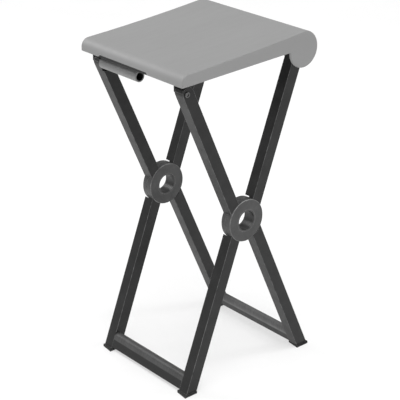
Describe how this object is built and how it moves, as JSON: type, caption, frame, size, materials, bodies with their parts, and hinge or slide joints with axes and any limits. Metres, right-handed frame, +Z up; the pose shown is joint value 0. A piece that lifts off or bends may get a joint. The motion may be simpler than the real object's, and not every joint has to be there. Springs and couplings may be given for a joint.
{
  "type": "folding stool",
  "caption": "Portable folding stool: two crossed black leg frames on ring hubs and a hinged moulded seat.",
  "frame": {"origin": "on the floor under the middle of the whole stool's box", "axes": "+Z up, +X towards the seat's rolled hinge end, Y along the hub axes"},
  "size_m": [0.2944, 0.248, 0.5738],
  "materials": {
    "frame_black": "black powder coat, satin",
    "seat_plastic": "fine-grained moulded grey",
    "grip_paint": "grey paint, satin",
    "rubber_feet": "matt ribbed",
    "hub_bearing": "smooth bearing plastic",
    "block_plastic": "smooth bearing plastic",
    "axle_steel": "bright bar",
    "pin_steel": "black oxide",
    "bracket_steel": "black paint"
  },
  "bodies": {
    "hinge_frame": {"hinge_upper_leg_near": "frame_black", "hinge_upper_leg_far": "frame_black", "hinge_lower_leg_near": "frame_black", "hinge_lower_leg_far": "frame_black", "hinge_tip_near": "frame_black", "hinge_tip_far": "frame_black", "hinge_foot_near": "rubber_feet", "hinge_foot_far": "rubber_feet", "hinge_ring_near": "frame_black", "hinge_ring_far": "frame_black", "hinge_rail": "frame_black", "hub_bush_near": "hub_bearing", "hub_bush_far": "hub_bearing", "hub_washer_near": "hub_bearing", "hub_washer_far": "hub_bearing", "seat_axle": "axle_steel"},
    "latch_frame": {"latch_upper_leg_near": "frame_black", "latch_upper_leg_far": "frame_black", "latch_lower_leg_near": "frame_black", "latch_lower_leg_far": "frame_black", "latch_tip_near": "frame_black", "latch_tip_far": "frame_black", "latch_foot_near": "rubber_feet", "latch_foot_far": "rubber_feet", "latch_ring_near": "frame_black", "latch_ring_far": "frame_black", "latch_rail": "frame_black", "latch_pin_near": "pin_steel", "latch_pin_far": "pin_steel", "grip_tube": "grip_paint"},
    "seat": {"seat_shell": "seat_plastic", "hinge_block_near": "block_plastic", "hinge_block_far": "block_plastic", "hook_bracket_near": "bracket_steel", "hook_bracket_far": "bracket_steel", "bracket_screws": "pin_steel", "skirt_strip": "bracket_steel"}
  },
  "joints": [
    {"name": "frame_fold", "type": "hinge", "parent": "hinge_frame", "child": "latch_frame", "pos_m": [-0.00358, 0, 0.2778], "axis": [0, 1, 0], "range_deg": [0, 40]},
    {"name": "seat_lift", "type": "hinge", "parent": "hinge_frame", "child": "seat", "pos_m": [0.10776, 0, 0.54161], "axis": [0, 1, 0], "range_deg": [0, 110]}
  ],
  "couplings": [
    {"joint": "seat_lift", "follows": "frame_fold", "ratio": 2.75}
  ]
}
